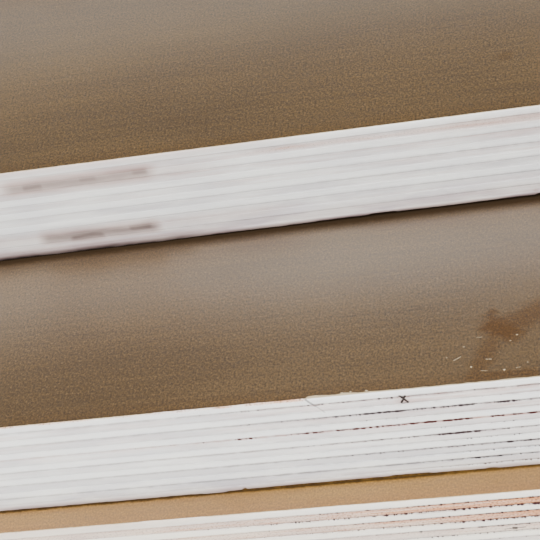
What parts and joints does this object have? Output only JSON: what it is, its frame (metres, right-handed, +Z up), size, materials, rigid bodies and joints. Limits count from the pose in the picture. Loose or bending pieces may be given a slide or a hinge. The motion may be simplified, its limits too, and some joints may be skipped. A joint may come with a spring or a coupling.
{
  "type": "stack of plywood sheets",
  "caption": "Flat stack of film-faced birch plywood sheets with white-painted sawn edges, each sheet slid back a little from the one below.",
  "frame": {"origin": "middle of the stack's footprint, on the floor", "axes": "+Z up, +X to the right along the bottom sheet's front edge, +Y from its front edge to its back edge"},
  "size_m": [1.562, 1.6462, 0.072],
  "materials": {
    "brown_film_face": "satin phenolic film, brown, with white-painted sawn edges",
    "tan_film_face": "satin film, light tan, with white-painted sawn edges"
  },
  "bodies": {
    "root": {"sheet_bottom": "tan_film_face", "sheet_third": "brown_film_face", "sheet_second": "brown_film_face", "sheet_top": "brown_film_face"}
  },
  "joints": []
}
